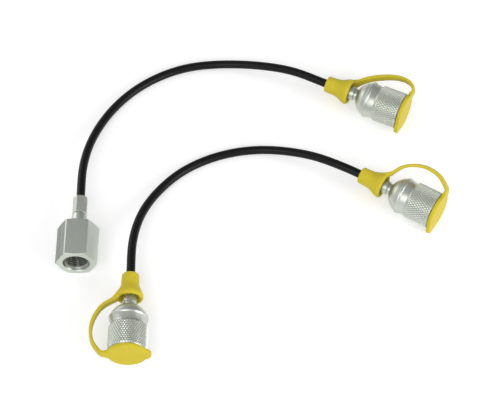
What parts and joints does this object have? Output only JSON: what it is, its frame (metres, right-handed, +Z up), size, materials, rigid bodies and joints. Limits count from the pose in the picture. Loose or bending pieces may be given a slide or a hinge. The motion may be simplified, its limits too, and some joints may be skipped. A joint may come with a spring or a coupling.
{
  "type": "hydraulic hose assembly",
  "caption": "Slim flexible hydraulic test hoses with knurled screw couplings, captive dust caps strapped to moulded boots, and a hexagonal adapter that takes a pressure gauge.",
  "frame": {"origin": "on the supporting surface, below the middle of the box round the fittings (the hoses left out)", "axes": "+Z up from the surface the hoses lie on; the gauge port and the front coupling point along -Y; +X towards the two right-hand couplings"},
  "size_m": [0.2247, 0.2103, 0.0274],
  "materials": {
    "plated_steel": "bright zinc-nickel plating, satin on turned and knurled surfaces",
    "spring_steel": "bare spring steel, dull",
    "yellow_plastic": "soft moulded plastic, satin",
    "hose_cover": "smooth extruded cover, slight sheen",
    "braid": "tightly braided yarn",
    "core_tube": "natural extruded plastic",
    "seal_rubber": "moulded rubber"
  },
  "bodies": {
    "hoses": {"gauge_hose_core": "core_tube", "gauge_hose_braid": "braid", "gauge_hose_cover": "hose_cover", "link_hose_core": "core_tube", "link_hose_braid": "braid", "link_hose_cover": "hose_cover", "gauge_adapter": "plated_steel", "gauge_ferrule": "plated_steel", "gauge_seal": "seal_rubber", "upper_ferrule": "plated_steel", "upper_stem": "plated_steel", "upper_o_ring": "seal_rubber", "upper_pin": "plated_steel", "upper_boot": "yellow_plastic", "upper_strap": "yellow_plastic", "right_ferrule": "plated_steel", "right_stem": "plated_steel", "right_o_ring": "seal_rubber", "right_pin": "plated_steel", "right_boot": "yellow_plastic", "right_strap": "yellow_plastic", "front_ferrule": "plated_steel", "front_stem": "plated_steel", "front_o_ring": "seal_rubber", "front_pin": "plated_steel", "front_boot": "yellow_plastic", "front_strap": "yellow_plastic"},
    "upper_ring_body": {"upper_snap_ring": "spring_steel"},
    "upper_nut_body": {"upper_nut": "plated_steel"},
    "upper_cap_body": {"upper_cap": "yellow_plastic"},
    "right_ring_body": {"right_snap_ring": "spring_steel"},
    "right_nut_body": {"right_nut": "plated_steel"},
    "right_cap_body": {"right_cap": "yellow_plastic"},
    "front_ring_body": {"front_snap_ring": "spring_steel"},
    "front_nut_body": {"front_nut": "plated_steel"},
    "front_cap_body": {"front_cap": "yellow_plastic"}
  },
  "joints": [
    {"name": "upper_nut_slide", "type": "slide", "parent": "hoses", "child": "upper_ring_body", "axis": [0.9026, -0.4305, 0], "range_m": [-0.0012, 0]},
    {"name": "upper_nut_spin", "type": "hinge", "parent": "upper_ring_body", "child": "upper_nut_body", "pos_m": [0.07535, 0.07645, 0.011], "axis": [0.9026, -0.4305, 0], "continuous": true},
    {"name": "upper_cap_hinge", "type": "hinge", "parent": "hoses", "child": "upper_cap_body", "pos_m": [0.09408, 0.08007, 0.01604], "axis": [-0.1751, -0.3671, 0.9135], "range_deg": [0, 120], "deforming": ["upper_strap"]},
    {"name": "right_nut_slide", "type": "slide", "parent": "hoses", "child": "right_ring_body", "axis": [0.8526, -0.5225, 0], "range_m": [-0.0012, 0]},
    {"name": "right_nut_spin", "type": "hinge", "parent": "right_ring_body", "child": "right_nut_body", "pos_m": [0.0918, 0.00624, 0.011], "axis": [0.8526, -0.5225, 0], "continuous": true},
    {"name": "right_cap_hinge", "type": "hinge", "parent": "hoses", "child": "right_cap_body", "pos_m": [0.1097, 0.00608, 0.0193], "axis": [-0.3496, -0.5705, 0.7431], "range_deg": [0, 120], "deforming": ["right_strap"]},
    {"name": "front_nut_slide", "type": "slide", "parent": "hoses", "child": "front_ring_body", "axis": [0, -1, 0], "range_m": [-0.0012, 0]},
    {"name": "front_nut_spin", "type": "hinge", "parent": "front_ring_body", "child": "front_nut_body", "pos_m": [-0.0695, -0.07895, 0.011], "axis": [0, -1, 0], "continuous": true},
    {"name": "front_cap_hinge", "type": "hinge", "parent": "hoses", "child": "front_cap_body", "pos_m": [-0.0819, -0.0943, 0.011], "axis": [0, 0, -1], "range_deg": [0, 120], "deforming": ["front_strap"]}
  ]
}
